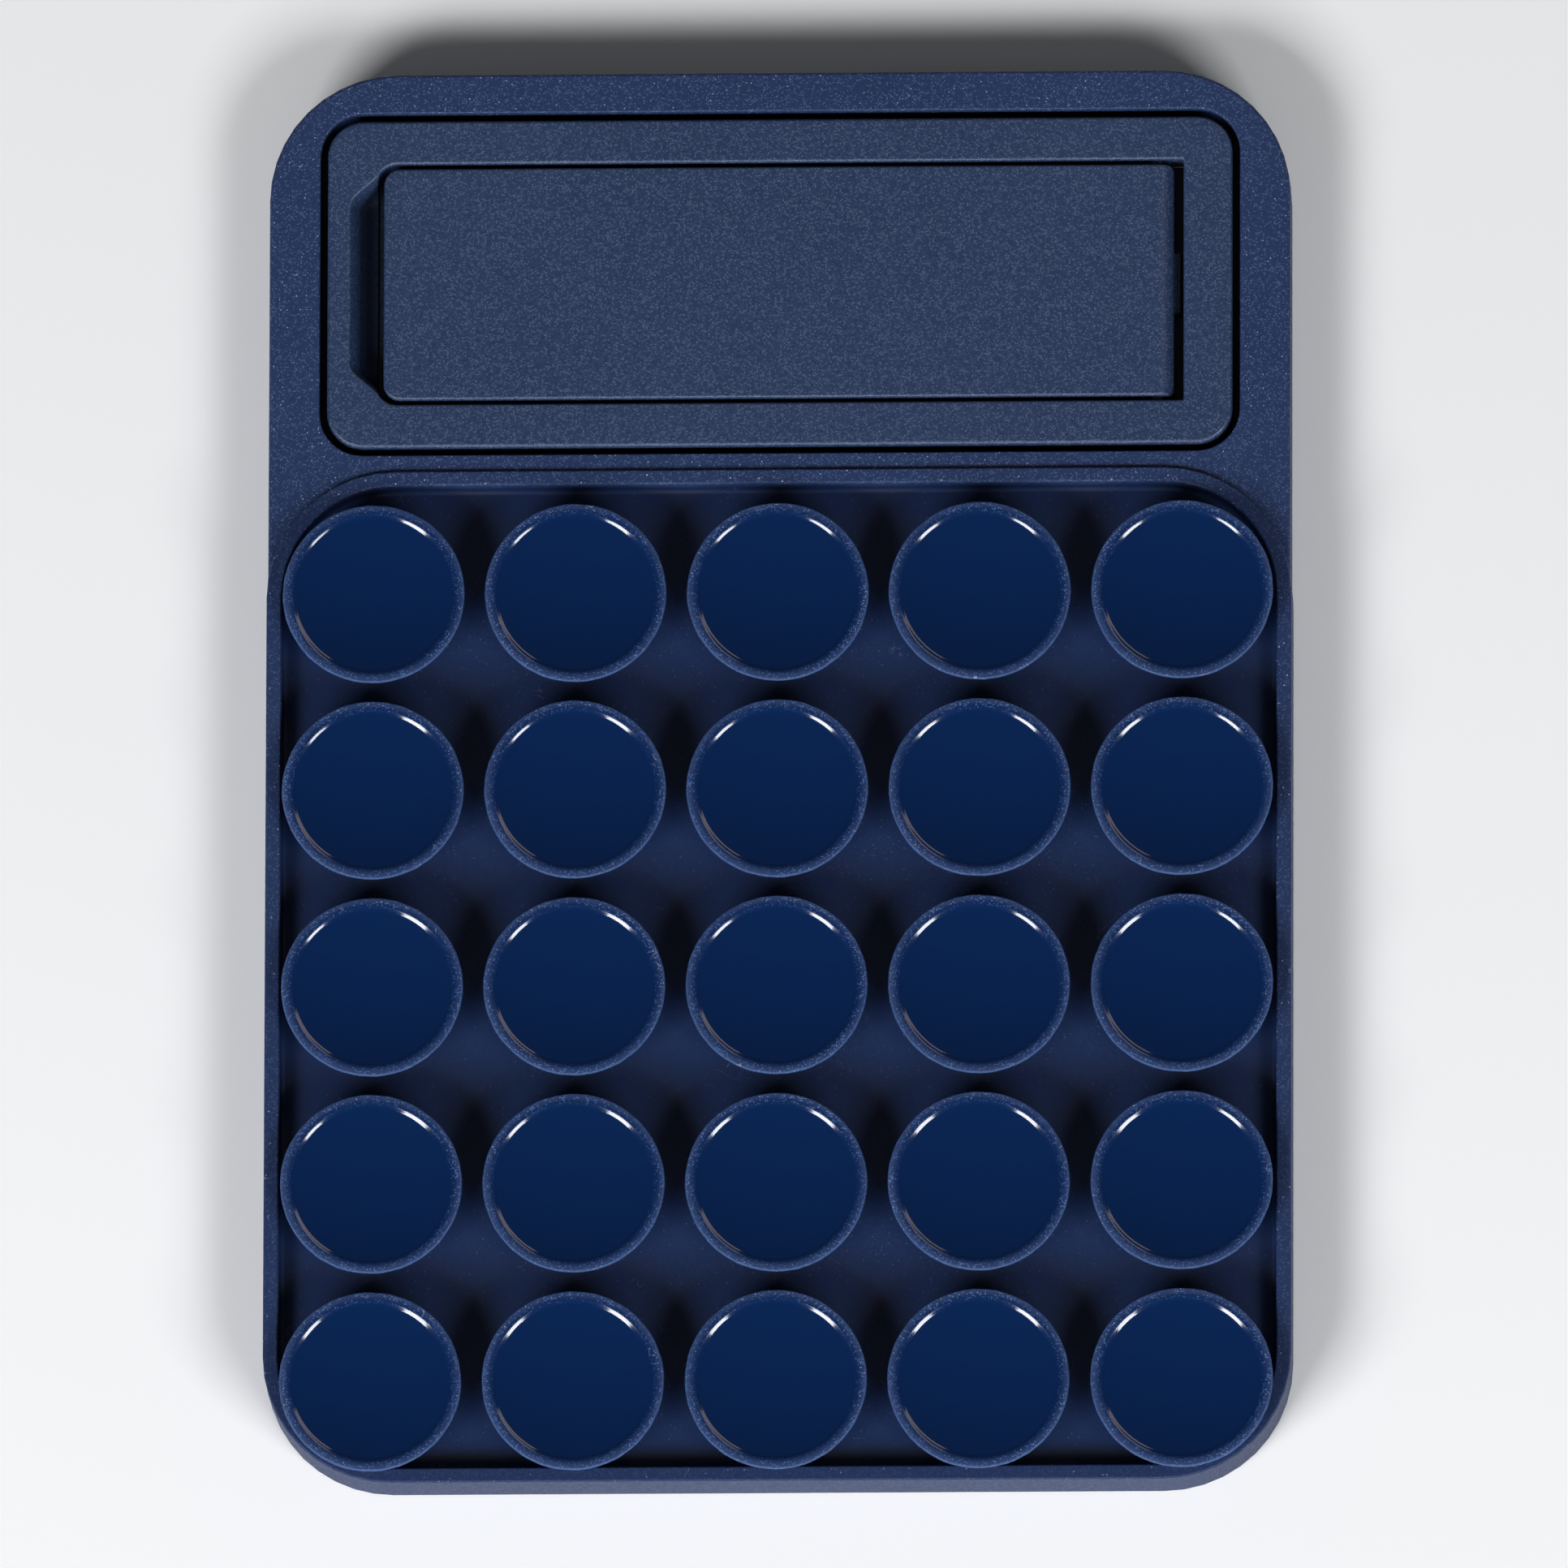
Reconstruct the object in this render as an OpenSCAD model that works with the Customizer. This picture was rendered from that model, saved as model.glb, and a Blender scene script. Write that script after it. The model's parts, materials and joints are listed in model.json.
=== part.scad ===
// Suction-cup phone mount with a fold-out stand leg.
// X runs across the mount, Y along it with the stand at the +Y end, and Z up from the tape to the cups.
// The origin is at the middle of the tape's outer face.

/* [Suction cups] */
// Cups across the tray
cup_cols = 5; // [3:1:6]
// Cups along the tray
cup_rows = 5; // [3:1:6]
// Diameter over a cup's lip
lip_d = 12.05; // [9:0.05:16]
// Clear space between two lips side by side
lip_gap_x = 1.35; // [0.8:0.05:3]
// Clear space between two lips one above the other
lip_gap_y = 1.23; // [0.8:0.01:3]
// Width of the flat land between the lip's edge and the dish
land_w = 0.6; // [0.5:0.05:1.4]
// Depth of the dish below the land
dish_depth = 0.95; // [0.6:0.05:1.6]
// Thickness of the lip's outer edge
lip_t = 0.4; // [0.2:0.05:0.7]
// Height of the land above the tray's floor
cup_h = 3.2; // [2.6:0.1:5]
// Diameter of the stem
stem_d = 7.8; // [4:0.1:8.5]
// Height of the stem's straight part
stem_h = 1.1; // [0.5:0.1:1.6]

/* [Tray] */
// Width of the raised rim round the cups
rim_w = 1; // [0.6:0.1:2.5]
// Height of the rim above the tray's floor
rim_h = 1.7; // [1:0.1:2.2]
// Space between the rim and the lips at each side
tray_margin_side = 0.17; // [0:0.01:3]
// Space between the rim and the lips at the stand's end
tray_margin_top = 1.6; // [0:0.05:4]
// Overhang of the lips over the rim at the far end
tray_overhang = 0.5; // [0:0.05:0.9]
// Height of the rim above the stand's end of the pad
rim_step = 0.3; // [0.1:0.05:0.6]
// How far the tray stands out past each side of the stand's end
side_step = 0.08; // [0.04:0.01:0.3]
// Corner radius of the outline
corner_r = 8.5; // [5:0.1:12]

/* [Stand] */
// Width of the leg
leg_w = 15.7; // [12:0.1:22]
// Thickness of the leg
leg_t = 2.2; // [1.8:0.05:3]
// Corner radius at the leg's free end
leg_corner_r = 1.1; // [0.5:0.1:2.5]
// Gap along each side of the leg
leg_gap_side = 0.3; // [0.15:0.05:0.8]
// Gap past the leg's free end
leg_gap_free = 0.5; // [0.3:0.05:1]
// Gap past the leg's hinge end
leg_gap_hinge = 0.65; // [0.5:0.05:1]
// Gap under the leg
leg_lift = 0.2; // [0.1:0.05:0.5]
// Angle at which the leg meets its stop
leg_open = 60; // [45:5:75]
// Width of the frame along the leg's sides
frame_rail = 2.95; // [2.4:0.05:5]
// Width of the frame past the leg's ends
frame_end = 3.25; // [2.6:0.05:5]
// Thickness of the frame's floor under the leg
frame_floor_t = 0.8; // [0.6:0.05:1.5]
// Corner radius of the frame
frame_corner_r = 2.4; // [1:0.1:2.9]
// Gap round the frame in its pocket
pocket_gap = 0.5; // [0.2:0.05:1]
// Silicone beyond the pocket at the end of the pad
pad_border_top = 2.65; // [1.5:0.05:5]
// Silicone beyond the pocket at each side
pad_border_side = 3.35; // [2:0.05:6]
// Silicone between the pocket and the tray
pad_strip = 1.15; // [0.8:0.05:3]
// Width of the finger scoop's opening along the frame
scoop_l = 14.4; // [8:0.1:15]
// Reach of the finger scoop past the leg's recess
scoop_reach = 1.65; // [0.8:0.05:2.2]
// Depth of the scoop at its far wall
scoop_wall = 1.6; // [0.4:0.05:1.8]
// Depth of the scoop where it meets the recess
scoop_depth = 2.15; // [1.5:0.05:2.3]

/* [Hinge] */
// Diameter of the hinge pin
pin_d = 1.2; // [0.8:0.05:1.45]
// Radial clearance between the pin and the leg
pin_clearance = 0.03; // [0.01:0.01:0.08]
// Radial squeeze of the frame on the pin
pin_squeeze = 0.01; // [0:0.005:0.03]
// Length of pin held in each rail of the frame
pin_seat = 2.1; // [1.5:0.1:2.3]
// Width of the stop heel on the leg's barrel
heel_w = 4; // [2:0.5:8]
// How far the stop heel stands out of the barrel
heel_out = 0.4; // [0.3:0.05:0.45]

/* [Back] */
// Thickness of the adhesive tape
tape_t = 0.5; // [0.2:0.05:1.2]
// Distance of the tape's edge from the plate's edge
tape_inset = 0.6; // [0.2:0.1:3]
// Thickness of the backing plate
plate_t = 1; // [0.8:0.1:2]
// Width of the silicone skirt round the plate
skirt_w = 1.2; // [0.8:0.1:3]
// Height of the skirt's foot above the tape's face
skirt_lift = 0.2; // [0.05:0.05:0.5]
// Diameter of the frame's staked posts
post_d = 1.6; // [1.2:0.1:2]
// Diameter of the posts' melted heads
head_d = 2.6; // [2.2:0.1:3]
// Thickness of the posts' melted heads
head_t = 0.35; // [0.2:0.05:0.45]
// Clearance round the posts and their heads in the plate
post_clearance = 0.08; // [0.03:0.01:0.2]

/* [Hidden] */
$fn = 96;
// Cuts run past the faces they open through by this much
past = 1;
silicone = [0.15, 0.20, 0.34];
plastic = [0.20, 0.26, 0.39];
steel = [0.72, 0.73, 0.75];
plate_grey = [0.17, 0.18, 0.21];
tape_grey = [0.25, 0.26, 0.28];

// Heights, from the tape's face up to the lips
plate_z = tape_t;
plate_top = plate_z + plate_t;
leg_z = plate_top + frame_floor_t + leg_lift;
stand_top = leg_z + leg_t;
rim_top = stand_top + rim_step;
floor_z = rim_top - rim_h;
lip_z = floor_z + cup_h;

// Plan sizes of the tray, from the cups that it holds
pitch_x = lip_d + lip_gap_x;
pitch_y = lip_d + lip_gap_y;
array_w = (cup_cols - 1) * pitch_x + lip_d;
array_l = (cup_rows - 1) * pitch_y + lip_d;
tray_w = array_w + 2 * (tray_margin_side + rim_w);
tray_l = array_l + tray_margin_top - tray_overhang + 2 * rim_w;

// Plan sizes of the stand: its length follows the tray's width, and its width follows the leg's
end_w = tray_w - 2 * side_step;
pocket_l = end_w - 2 * pad_border_side;
frame_l = pocket_l - 2 * pocket_gap;
window_l = frame_l - 2 * frame_end;
window_w = leg_w + 2 * leg_gap_side;
frame_w = window_w + 2 * frame_rail;
pocket_w = frame_w + 2 * pocket_gap;
pad_l = pad_border_top + pocket_w + pad_strip + tray_l;

// Places along Y
tray_y = (tray_l - pad_l) / 2;
stand_y = pad_l / 2 - pad_border_top - pocket_w / 2;
first_row_y = tray_y + tray_l / 2 - rim_w - tray_margin_top - lip_d / 2;
first_col_x = -(cup_cols - 1) * pitch_x / 2;

// Corner radius inside the tray: the rim's own, or less where the corner cups' undersides need the room
underside_room = 0.2;
lip_foot = cup_h - lip_t;
underside_r = stem_d / 2 + (lip_d - stem_d) / 2 * max(0, rim_h - stem_h) / (lip_foot - stem_h);
room_x = tray_margin_side + lip_d / 2 - underside_r - underside_room;
room_y = lip_d / 2 - tray_overhang - underside_r - underside_room;
room_r = room_x + room_y + underside_r + underside_room + sqrt(max(0, 2 * room_x * room_y));
tray_corner_r = min(corner_r - rim_w, room_r);

// Hinge, at the +X end of the leg
barrel_r = leg_t / 2;
hinge_x = window_l / 2 - leg_gap_hinge - barrel_r;
hinge_z = leg_z + barrel_r;
leg_x = -window_l / 2 + leg_gap_free;
pin_l = window_w + 2 * pin_seat;
heel_r = barrel_r + heel_out;
heel_span = 30;
heel_room = 0.1;
stop_x = 0.15;
stop_slack = 1;
heel_lead = -90 - asin(stop_x / heel_r) + leg_open + stop_slack;

// Posts under the frame's corners
post_x = (frame_l - frame_end) / 2;
post_y = (frame_w - frame_rail) / 2;
head_room = 0.1;

// Plate and tape outlines
plate_w = end_w - 2 * skirt_w;
plate_l = pad_l - 2 * skirt_w;
plate_fit = 0.05;

function cup_name(row, col) = str("suction_cup_", row, "_", col);

// A rectangle with round corners, centred
module round_rect(w, l, r) {
    square([w - 2 * r, l], center = true);
    square([w, l - 2 * r], center = true);
    for (x = [-1, 1], y = [-1, 1]) translate([x * (w / 2 - r), y * (l / 2 - r)]) circle(r);
}

// A round-cornered slab from z0 up to z1
module slab(w, l, r, z0, z1) {
    translate([0, 0, z0]) linear_extrude(z1 - z0) round_rect(w, l, r);
}

// A cylinder along +Y, starting at the given point
module rod_y(d, l, at) {
    translate(at) rotate([-90, 0, 0]) cylinder(d = d, h = l);
}

module at_posts(z) {
    for (x = [-1, 1], y = [-1, 1]) translate([x * post_x, stand_y + y * post_y, z]) children();
}

module plate_outline(inset, z0, z1) {
    slab(plate_w - 2 * inset, plate_l - 2 * inset, corner_r - skirt_w - inset, z0, z1);
}

// Soft body: a plain end with the stand's pocket, and a raised-rim tray for the cups
module silicone_pad() color(silicone) difference() {
    union() {
        slab(end_w, pad_l, corner_r, skirt_lift, stand_top);
        translate([0, tray_y, 0]) slab(tray_w, tray_l, corner_r, skirt_lift, rim_top);
    }
    translate([0, tray_y, 0])
        slab(tray_w - 2 * rim_w, tray_l - 2 * rim_w, tray_corner_r, floor_z, rim_top + past);
    translate([0, stand_y, 0])
        slab(pocket_l, pocket_w, frame_corner_r + pocket_gap, 0, stand_top + past);
    plate_outline(-plate_fit, 0, plate_top);
}

// Hard plate that the silicone is bonded to, with stepped holes for the frame's posts
module backing_plate() color(plate_grey) difference() {
    plate_outline(0, plate_z, plate_top);
    at_posts(plate_z - past) cylinder(d = post_d + 2 * post_clearance, h = plate_t + 2 * past);
    at_posts(plate_z - past) cylinder(d = head_d + 2 * post_clearance, h = head_t + head_room + past);
}

module back_adhesive() color(tape_grey) plate_outline(tape_inset, 0, tape_t);

// Recess for the leg, with round corners at the free end and square ones at the hinge
module leg_recess() {
    r = leg_corner_r + leg_gap_side;
    h = leg_t + leg_lift + past;
    translate([-window_l / 2 + r, -window_w / 2, leg_z - leg_lift]) cube([window_l - r, window_w, h]);
    translate([-window_l / 2, -window_w / 2 + r, leg_z - leg_lift]) cube([r + past, window_w - 2 * r, h]);
    for (y = [-1, 1])
        translate([-window_l / 2 + r, y * (window_w / 2 - r), leg_z - leg_lift]) cylinder(r = r, h = h);
}

// Scoop for a fingertip: a wall, then a ramp down into the recess at the leg's free end, with slanted ends
module finger_scoop() {
    x0 = -window_l / 2;
    intersection() {
        translate([0, scoop_l / 2, 0]) rotate([90, 0, 0]) linear_extrude(scoop_l)
            polygon([
                [x0 - scoop_reach, stand_top - scoop_wall], [x0 - scoop_reach, stand_top + past],
                [x0 + past, stand_top + past], [x0 + past, stand_top - scoop_depth],
                [x0, stand_top - scoop_depth]
            ]);
        translate([x0, 0, 0]) linear_extrude(stand_top + 2 * past)
            polygon([
                [-scoop_reach, -scoop_l / 2 + scoop_reach], [0, -scoop_l / 2], [past, -scoop_l / 2],
                [past, scoop_l / 2], [0, scoop_l / 2], [-scoop_reach, scoop_l / 2 - scoop_reach]
            ]);
    }
}

// Bezel with the leg's recess, the hinge ears, and posts staked through the backing plate
module stand_frame() color(plastic) {
    difference() {
        translate([0, stand_y, 0]) difference() {
            slab(frame_l, frame_w, frame_corner_r, plate_top, stand_top);
            leg_recess();
            finger_scoop();
            translate([hinge_x - stop_x, -heel_w / 2 - heel_room, hinge_z - heel_r - heel_room])
                cube([barrel_r + leg_gap_hinge + stop_x, heel_w + 2 * heel_room, heel_r]);
        }
        rod_y(pin_d - 2 * pin_squeeze, pin_l + frame_rail, [hinge_x, stand_y - pin_l / 2, hinge_z]);
    }
    at_posts(plate_z + head_t / 2) cylinder(d = post_d, h = plate_t);
    at_posts(plate_z) cylinder(d = head_d, h = head_t);
}

// Leg: a slab with round free corners, a barrel at the hinge, and a heel that meets the stop
module stand_leg() color(plastic) translate([0, stand_y, 0]) difference() {
    r = leg_corner_r;
    union() {
        translate([leg_x + r, -leg_w / 2, leg_z]) cube([hinge_x - leg_x - r, leg_w, leg_t]);
        translate([leg_x, -leg_w / 2 + r, leg_z]) cube([2 * r, leg_w - 2 * r, leg_t]);
        for (y = [-1, 1]) translate([leg_x + r, y * (leg_w / 2 - r), leg_z]) cylinder(r = r, h = leg_t);
        rod_y(leg_t, leg_w, [hinge_x, -leg_w / 2, hinge_z]);
        translate([hinge_x, heel_w / 2, hinge_z]) rotate([90, 0, 0]) linear_extrude(heel_w)
            intersection() {
                circle(heel_r);
                polygon([
                    [0, 0],
                    2 * heel_r * [cos(heel_lead), sin(heel_lead)],
                    2 * heel_r * [cos(heel_lead + heel_span), sin(heel_lead + heel_span)]
                ]);
            }
    }
    rod_y(pin_d + 2 * pin_clearance, leg_w + 2 * past, [hinge_x, -leg_w / 2 - past, hinge_z]);
}

module hinge_pin() color(steel) rod_y(pin_d, pin_l, [hinge_x, stand_y - pin_l / 2, hinge_z]);

// One cup: a stem that flares to a thin lip, with a flat land round a spherical dish
module suction_cup(row, col) {
    lip_r = lip_d / 2;
    dish_r = lip_r - land_w;
    ball_r = (dish_r * dish_r + dish_depth * dish_depth) / (2 * dish_depth);
    at = [first_col_x + (col - 1) * pitch_x, first_row_y - (row - 1) * pitch_y, floor_z];
    color(silicone) translate(at) difference() {
        rotate_extrude() polygon([
            [0, 0], [stem_d / 2, 0], [stem_d / 2, stem_h], [lip_r, lip_foot], [lip_r, cup_h],
            [0, cup_h]
        ]);
        translate([0, 0, cup_h - dish_depth + ball_r]) sphere(ball_r);
    }
}

silicone_pad();
backing_plate();
back_adhesive();
stand_frame();
stand_leg();
hinge_pin();
for (row = [1:cup_rows], col = [1:cup_cols])
    suction_cup(row, col);
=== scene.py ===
import json
import math
import random

import bmesh
import bpy
from mathutils import Matrix, Vector, noise


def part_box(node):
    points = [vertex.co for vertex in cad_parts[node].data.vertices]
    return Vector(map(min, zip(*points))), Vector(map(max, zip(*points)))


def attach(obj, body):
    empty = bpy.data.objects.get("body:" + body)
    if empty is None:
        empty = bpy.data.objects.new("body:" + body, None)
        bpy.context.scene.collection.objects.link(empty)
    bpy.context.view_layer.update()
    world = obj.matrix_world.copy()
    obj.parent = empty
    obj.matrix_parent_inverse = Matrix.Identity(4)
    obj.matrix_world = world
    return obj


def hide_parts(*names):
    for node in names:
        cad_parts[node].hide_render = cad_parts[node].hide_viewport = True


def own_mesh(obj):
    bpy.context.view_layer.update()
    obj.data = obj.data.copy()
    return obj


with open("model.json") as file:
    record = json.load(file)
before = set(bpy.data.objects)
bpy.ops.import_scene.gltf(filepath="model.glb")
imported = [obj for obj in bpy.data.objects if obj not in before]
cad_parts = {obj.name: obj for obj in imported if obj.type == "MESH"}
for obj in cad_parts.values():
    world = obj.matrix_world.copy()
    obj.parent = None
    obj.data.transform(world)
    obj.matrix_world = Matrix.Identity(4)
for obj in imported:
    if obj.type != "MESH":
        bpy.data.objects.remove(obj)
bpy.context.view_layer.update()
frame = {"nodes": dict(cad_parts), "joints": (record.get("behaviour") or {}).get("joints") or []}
mm = 0.001
scene = bpy.context.scene
print("frame loaded:", len(frame["nodes"]), "nodes")


# Shapes

# A closed outline with round corners, grown outwards by offset.
# radii are for the corners at (+x, +y), (-x, +y), (-x, -y) and (+x, -y).
def roundedOutline(low, high, radii, offset=0.0, steps=10):
    points = []
    signs = ((1, 1), (-1, 1), (-1, -1), (1, -1))
    for quarter, ((sx, sy), radius) in enumerate(zip(signs, radii)):
        r = max(radius + offset, 0.01 * mm)
        cx = (high[0] + offset - r) if sx > 0 else (low[0] - offset + r)
        cy = (high[1] + offset - r) if sy > 0 else (low[1] - offset + r)
        for step in range(steps + 1):
            angle = (quarter + step / steps) * math.pi / 2
            points.append((cx + r * math.cos(angle), cy + r * math.sin(angle)))
    return points


def arc(centreX, centreZ, radius, startDegrees, endDegrees, steps=5):
    angles = [math.radians(startDegrees + (endDegrees - startDegrees) * i / steps) for i in range(steps + 1)]
    return [(centreX + radius * math.cos(a), centreZ + radius * math.sin(a)) for a in angles]


# Edge profiles as (offset, z) pairs, from the bottom up: a slab's side, a hole's lip and a recess's wall.
def slabProfile(bottom, top, footRadius, topRadius):
    foot = arc(-footRadius, bottom + footRadius, footRadius, -90, 0)
    return foot + arc(-topRadius, top - topRadius, topRadius, 0, 90)


def lipProfile(top, radius, past):
    return arc(radius, top - radius, radius, 180, 90) + [(radius, top + past)]


def recessProfile(floor, top, floorRadius, lipRadius, past):
    return arc(-floorRadius, floor + floorRadius, floorRadius, -90, 0) + lipProfile(top, lipRadius, past)


def meshObject(name, bm):
    bmesh.ops.remove_doubles(bm, verts=bm.verts, dist=1e-7)
    bmesh.ops.recalc_face_normals(bm, faces=bm.faces)
    mesh = bpy.data.meshes.new(name)
    bm.to_mesh(mesh)
    bm.free()
    piece = bpy.data.objects.new(name, mesh)
    scene.collection.objects.link(piece)
    return piece


# Joins rings of equal point count into one closed skin, capped at both ends.
def solidFromRings(name, rings):
    bm = bmesh.new()
    loops = [[bm.verts.new(p) for p in ring] for ring in rings]
    for lower, upper in zip(loops, loops[1:]):
        for i in range(len(lower)):
            j = (i + 1) % len(lower)
            bm.faces.new((lower[i], lower[j], upper[j], upper[i]))
    bm.faces.new(list(reversed(loops[0])))
    bm.faces.new(loops[-1])
    return meshObject(name, bm)


def solidFromProfile(name, low, high, radii, profile):
    return solidFromRings(name, [
        [(x, y, z) for x, y in roundedOutline(low, high, radii, offset)] for offset, z in profile
    ])


def cylinderAlong(name, axis, start, length, radius, steps=48):
    turn = Vector((0, 0, 1)).rotation_difference(Vector(axis))
    rings = []
    for along in (0, length):
        ring = []
        for i in range(steps):
            angle = 2 * math.pi * i / steps
            offset = turn @ Vector((radius * math.cos(angle), radius * math.sin(angle), along))
            ring.append(Vector(start) + offset)
        rings.append(ring)
    return solidFromRings(name, rings)


# Adds or cuts away each tool in turn, and deletes it.
def combine(piece, operation, *tools):
    for tool in tools:
        modifier = piece.modifiers.new("combine", "BOOLEAN")
        modifier.operation = operation
        modifier.solver = "EXACT"
        modifier.object = tool
        shapedPiece = piece.evaluated_get(bpy.context.evaluated_depsgraph_get())
        shaped = bpy.data.meshes.new_from_object(shapedPiece)
        piece.modifiers.remove(modifier)
        old = piece.data
        piece.data = shaped
        piece.data.name = piece.name
        bpy.data.meshes.remove(old)
        bpy.data.objects.remove(tool)
    return piece


# Smooth shading that keeps flats flat and hard edges hard.
def shade(piece, sharpDegrees=32):
    for polygon in piece.data.polygons:
        polygon.use_smooth = True
    piece.data.set_sharp_from_angle(angle=math.radians(sharpDegrees))
    modifier = piece.modifiers.new("flatsStayFlat", "WEIGHTED_NORMAL")
    modifier.keep_sharp = True
    modifier.weight = 100


# Colours and shader nodes

# A colour given as screen values from 0 to 255, made linear.
def linear(r, g, b):
    def channel(value):
        share = value / 255
        return share / 12.92 if share <= 0.04045 else ((share + 0.055) / 1.055) ** 2.4
    return (channel(r), channel(g), channel(b), 1.0)


# Links an input to another node's output, or sets it to a plain value.
def feed(tree, node, key, value):
    if isinstance(value, bpy.types.NodeSocket):
        tree.links.new(value, node.inputs[key])
    else:
        node.inputs[key].default_value = value


def addNode(tree, kind, inputs=None, **settings):
    node = tree.nodes.new(kind)
    for key, value in settings.items():
        setattr(node, key, value)
    for key, value in (inputs or {}).items():
        feed(tree, node, key, value)
    return node


def mathNode(tree, operation, a, b=None):
    values = {0: a} if b is None else {0: a, 1: b}
    return addNode(tree, "ShaderNodeMath", values, operation=operation).outputs[0]


def plus(tree, a, b):
    return mathNode(tree, "ADD", a, b)


def times(tree, a, b):
    return mathNode(tree, "MULTIPLY", a, b)


def mixColour(tree, factor, a, b):
    return addNode(tree, "ShaderNodeMix", {0: factor, 6: a, 7: b}, data_type="RGBA").outputs[2]


def remap(tree, value, fromLow, fromHigh, toLow, toHigh, smooth=False):
    limits = {"Value": value, "From Min": fromLow, "From Max": fromHigh, "To Min": toLow, "To Max": toHigh}
    kind = "SMOOTHSTEP" if smooth else "LINEAR"
    return addNode(tree, "ShaderNodeMapRange", limits, interpolation_type=kind).outputs["Result"]


def noiseValue(tree, vector, scale, detail, roughness=0.5):
    inputs = {"Vector": vector, "Scale": scale, "Detail": detail, "Roughness": roughness}
    return addNode(tree, "ShaderNodeTexNoise", inputs).outputs["Fac"]


# Random cells: the distance to each cell's middle, and three random values for each cell.
def randomCells(tree, vector, scale):
    cells = addNode(tree, "ShaderNodeTexVoronoi", {"Vector": vector, "Scale": scale}).outputs
    chances = addNode(tree, "ShaderNodeSeparateColor", {"Color": cells["Color"]}).outputs
    return cells["Distance"], chances["Red"], chances["Green"], chances["Blue"]


def painted(tree, maskName):
    return addNode(tree, "ShaderNodeAttribute", attribute_name=maskName).outputs["Fac"]


# Shared effects, as node groups

def newGroup(name, inputs, outputs):
    group = bpy.data.node_groups.new(name, "ShaderNodeTree")
    for label, kind, value in inputs:
        socket = group.interface.new_socket(label, in_out="INPUT", socket_type=kind)
        if value is not None:
            socket.default_value = value
    for label, kind in outputs:
        group.interface.new_socket(label, in_out="OUTPUT", socket_type=kind)
    return group, group.nodes.new("NodeGroupInput"), group.nodes.new("NodeGroupOutput")


vectorSocket, floatSocket = "NodeSocketVector", "NodeSocketFloat"


# Spark-eroded grain: a fine height, a random tone for each facet, and bright facets that stand for where the
# grain catches the light; put into a colour, these are painted glints.
def makeGrainGroup():
    group, given, result = newGroup(
        "sparkGrain",
        [("Vector", vectorSocket, None), ("Scale", floatSocket, 6000.0), ("Facets", floatSocket, 0.2)],
        [("Height", floatSocket), ("PaintedGlints", floatSocket), ("Tone", floatSocket)],
    )
    vector, scale = given.outputs["Vector"], given.outputs["Scale"]
    distance, chance, _, _ = randomCells(group, vector, scale)
    limit = mathNode(group, "SUBTRACT", 1.0, given.outputs["Facets"])
    bright = mathNode(group, "GREATER_THAN", chance, limit)
    core = remap(group, distance, 0.15, 0.55, 1.0, 0.0, smooth=True)
    feed(group, result, "Height", noiseValue(group, vector, scale, 2.0, 0.6))
    feed(group, result, "PaintedGlints", times(group, bright, core))
    feed(group, result, "Tone", chance)
    return group


# Dust that silicone picks up: specks of two sizes in patches, and short curled lint.
def makeDustGroup():
    group, given, result = newGroup(
        "dustAndLint",
        [("Vector", vectorSocket, None), ("Speck Scale", floatSocket, 1500.0), ("Amount", floatSocket, 0.3),
         ("Lint", floatSocket, 0.3)],
        [("Mask", floatSocket)],
    )
    vector = given.outputs["Vector"]
    patches = remap(group, noiseValue(group, vector, 90.0, 3.0), 0.35, 0.7, 0.25, 1.9)
    amount = times(group, patches, given.outputs["Amount"])
    masks = []
    for scaleShare, reach in ((1.0, 0.30), (2.3, 0.34)):
        scale = times(group, given.outputs["Speck Scale"], scaleShare)
        distance, _, chance, size = randomCells(group, vector, scale)
        chosen = mathNode(group, "LESS_THAN", chance, amount)
        near = mathNode(group, "SUBTRACT", times(group, size, reach), distance)
        masks.append(times(group, chosen, remap(group, near, 0.0, 0.12, 0.0, 1.0, smooth=True)))
    curl = mathNode(group, "SUBTRACT", noiseValue(group, vector, 700.0, 1.0), 0.5)
    thread = remap(group, mathNode(group, "ABSOLUTE", curl), 0.0, 0.008, 1.0, 0.0)
    lengths = plus(group, noiseValue(group, vector, 420.0, 0.0), times(group, given.outputs["Lint"], 0.2))
    masks.append(times(group, thread, remap(group, lengths, 0.77, 0.8, 0.0, 1.0)))
    specks = mathNode(group, "MAXIMUM", masks[0], masks[1])
    feed(group, result, "Mask", mathNode(group, "MAXIMUM", specks, masks[2]))
    return group


# Slow tonal drift and the faint haze of a moulded surface.
def makeMottleGroup():
    group, given, result = newGroup(
        "mouldMottle",
        [("Vector", vectorSocket, None), ("Scale", floatSocket, 60.0)],
        [("Drift", floatSocket), ("Fine", floatSocket)],
    )
    vector, scale = given.outputs["Vector"], given.outputs["Scale"]
    broad = noiseValue(group, vector, scale, 3.0)
    feed(group, result, "Drift", remap(group, broad, 0.3, 0.7, 0.0, 1.0))
    feed(group, result, "Fine", noiseValue(group, vector, times(group, scale, 70.0), 2.0))
    return group


grainGroup = makeGrainGroup()
dustGroup = makeDustGroup()
mottleGroup = makeMottleGroup()


def placeGrain(tree, place, look):
    inputs = {"Vector": place, "Scale": look["grainScale"], "Facets": look["facets"]}
    return addNode(tree, "ShaderNodeGroup", inputs, node_tree=grainGroup).outputs


def placeDust(tree, place, look):
    inputs = {
        "Vector": place, "Speck Scale": look["speckScale"], "Amount": look["specks"], "Lint": look["lint"],
    }
    return addNode(tree, "ShaderNodeGroup", inputs, node_tree=dustGroup).outputs["Mask"]


def placeMottle(tree, place, look):
    inputs = {"Vector": place, "Scale": look["mottleScale"]}
    return addNode(tree, "ShaderNodeGroup", inputs, node_tree=mottleGroup).outputs


# Materials

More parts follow.
